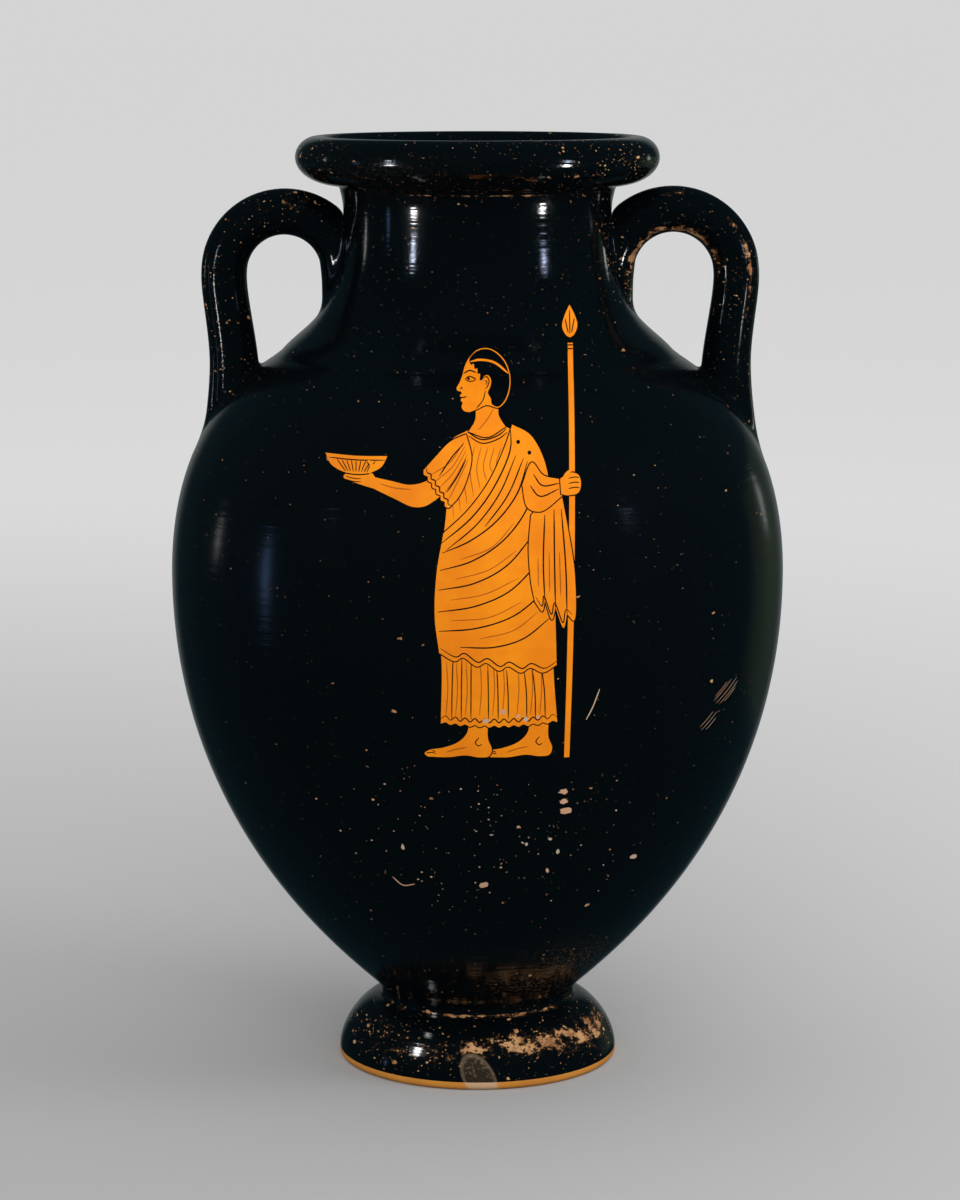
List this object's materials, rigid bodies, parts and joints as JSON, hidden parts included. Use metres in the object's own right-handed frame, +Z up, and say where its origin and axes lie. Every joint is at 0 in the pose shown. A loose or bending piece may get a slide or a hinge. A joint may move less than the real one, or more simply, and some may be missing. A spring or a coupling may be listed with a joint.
{
  "type": "red-figure amphora",
  "caption": "Fired-clay amphora with ovoid body, rolled lip, arched round handles and cushion foot, hollow and open at the mouth; black glaze with a standing figure in bare orange clay.",
  "frame": {"origin": "centre of the foot's resting ring, on the surface that the jar stands on", "axes": "+Z up along the jar's axis, X through the handles, the painted side towards -Y"},
  "size_m": [0.2724, 0.2724, 0.415],
  "materials": {
    "black_glaze": "gloss"
  },
  "bodies": {
    "root": {"amphora": "black_glaze"}
  },
  "joints": []
}
